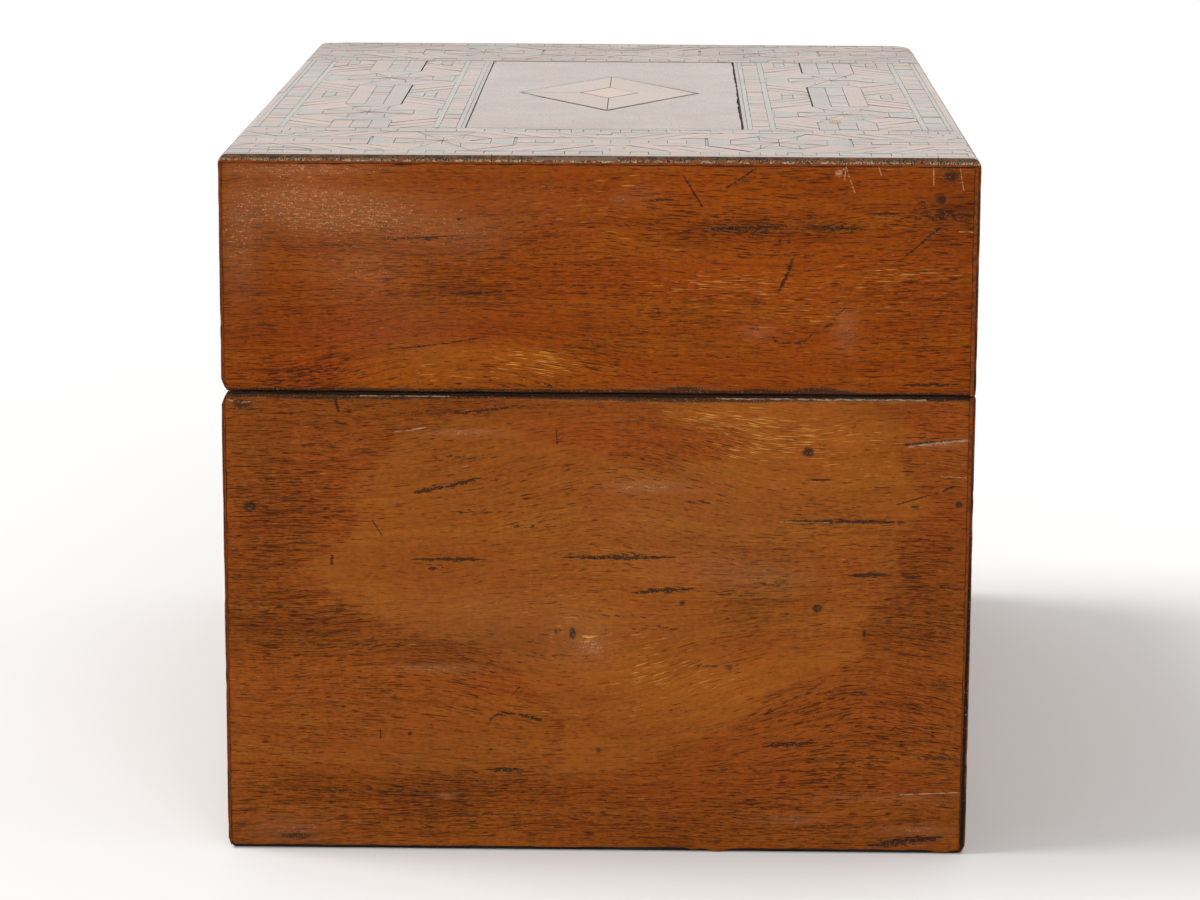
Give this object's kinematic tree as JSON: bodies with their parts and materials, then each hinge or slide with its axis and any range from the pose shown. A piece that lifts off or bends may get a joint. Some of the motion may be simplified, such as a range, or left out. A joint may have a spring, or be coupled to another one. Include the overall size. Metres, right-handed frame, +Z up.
{
  "type": "tunbridge ware box",
  "caption": "Rectangular veneered wooden box with a hinged lid and geometric parquetry on its top.",
  "frame": {"origin": "centre of the underside, on the plane that the box rests on", "axes": "+Z up, -Y towards the short end seen in the picture, -X towards the hinged back, +X towards the front"},
  "size_m": [0.1529, 0.2286, 0.1443],
  "materials": {
    "walnut_veneer": "polished figured walnut veneer, scratched and worn",
    "side_veneer": "polished walnut veneer of the long sides",
    "case_wood": "plain waxed case wood",
    "parquetry": "polished mosaic of light, pink, brown and grey-stained woods",
    "panel_walnut": "polished plain walnut",
    "pale_inlay": "polished pale inlay wood",
    "hinge_brass": "dull aged brass"
  },
  "bodies": {
    "box": {"base_back_board": "case_wood", "base_back_veneer": "side_veneer", "base_far_end_board": "case_wood", "base_far_end_veneer": "walnut_veneer", "base_front_board": "case_wood", "base_front_veneer": "side_veneer", "base_near_end_board": "case_wood", "base_near_end_veneer": "walnut_veneer", "bottom_board": "case_wood", "hinge_1_lower_leaf": "hinge_brass", "hinge_1_lower_screw_1": "hinge_brass", "hinge_1_lower_screw_2": "hinge_brass", "hinge_1_pin": "hinge_brass", "hinge_2_lower_leaf": "hinge_brass", "hinge_2_lower_screw_1": "hinge_brass", "hinge_2_lower_screw_2": "hinge_brass", "hinge_2_pin": "hinge_brass"},
    "lid": {"back_medallion_1": "parquetry", "back_medallion_2": "parquetry", "back_parquetry_band": "parquetry", "centre_panel": "panel_walnut", "far_medallion_1": "parquetry", "far_medallion_2": "parquetry", "far_parquetry_band": "parquetry", "front_medallion_1": "parquetry", "front_medallion_2": "parquetry", "front_parquetry_band": "parquetry", "hinge_1_upper_leaf": "hinge_brass", "hinge_1_upper_screw_1": "hinge_brass", "hinge_1_upper_screw_2": "hinge_brass", "hinge_2_upper_leaf": "hinge_brass", "hinge_2_upper_screw_1": "hinge_brass", "hinge_2_upper_screw_2": "hinge_brass", "lid_back_board": "case_wood", "lid_back_veneer": "side_veneer", "lid_far_end_board": "case_wood", "lid_far_end_veneer": "walnut_veneer", "lid_front_board": "case_wood", "lid_front_veneer": "side_veneer", "lid_near_end_board": "case_wood", "lid_near_end_veneer": "walnut_veneer", "lozenge_facet_1": "pale_inlay", "lozenge_facet_2": "pale_inlay", "lozenge_facet_3": "pale_inlay", "lozenge_facet_4": "pale_inlay", "lozenge_heart": "panel_walnut", "near_medallion_1": "parquetry", "near_medallion_2": "parquetry", "near_parquetry_band": "parquetry", "top_board": "case_wood"}
  },
  "joints": [
    {"name": "lid_hinge", "type": "hinge", "parent": "box", "child": "lid", "pos_m": [-0.07488, 0, 0.096], "axis": [0, -1, 0], "range_deg": [0, 110]}
  ]
}
